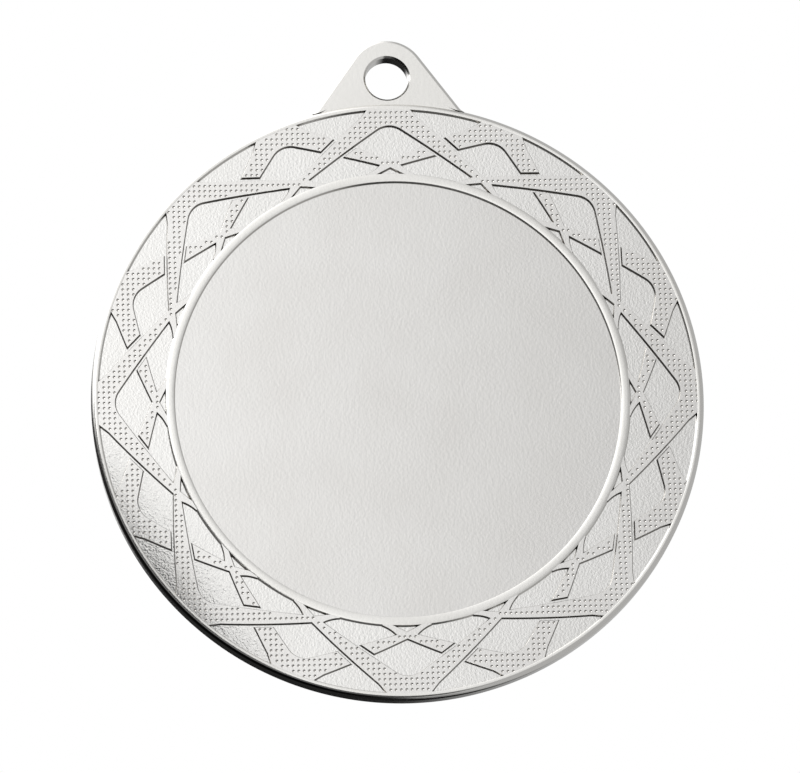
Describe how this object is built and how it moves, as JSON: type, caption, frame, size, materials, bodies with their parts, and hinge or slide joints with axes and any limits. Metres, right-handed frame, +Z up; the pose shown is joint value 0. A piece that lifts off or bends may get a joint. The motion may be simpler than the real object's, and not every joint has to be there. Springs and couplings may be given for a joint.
{
  "type": "award medal",
  "caption": "Round silver-coloured blank medal with a ribbon lug, a raised rim, a star-like band of dimpled crossing chevrons and a plain round emblem seat.",
  "frame": {"origin": "centre of the ribbon hole, on its axis, halfway through the lug's thickness", "axes": "+Z up from the disc's centre towards the lug, -Y out of the front face, +X to the right seen from the front"},
  "size_m": [0.07, 0.003, 0.0776],
  "materials": {
    "struck_field": "silver-coloured nickel plate over a struck, slightly grainy ground",
    "polished_edge": "smooth bright silver-coloured nickel plate",
    "dimpled_strip": "silver-coloured nickel plate over a dimpled relief"
  },
  "bodies": {
    "root": {"blank": "struck_field", "rim": "polished_edge", "emblem_ring": "polished_edge", "lug": "polished_edge", "full_chevron_1": "dimpled_strip", "full_chevron_2": "dimpled_strip", "full_chevron_3": "dimpled_strip", "full_chevron_4": "dimpled_strip", "full_chevron_5": "dimpled_strip", "full_chevron_6": "dimpled_strip", "full_chevron_7": "dimpled_strip", "full_chevron_8": "dimpled_strip", "rim_chevron_1": "dimpled_strip", "rim_chevron_2": "dimpled_strip", "rim_chevron_3": "dimpled_strip", "rim_chevron_4": "dimpled_strip", "rim_chevron_5": "dimpled_strip", "rim_chevron_6": "dimpled_strip", "rim_chevron_7": "dimpled_strip", "rim_chevron_8": "dimpled_strip", "cross_bars_1": "dimpled_strip", "cross_bars_2": "dimpled_strip", "cross_bars_3": "dimpled_strip", "cross_bars_4": "dimpled_strip", "cross_bars_5": "dimpled_strip", "cross_bars_6": "dimpled_strip", "cross_bars_7": "dimpled_strip", "cross_bars_8": "dimpled_strip"}
  },
  "joints": []
}
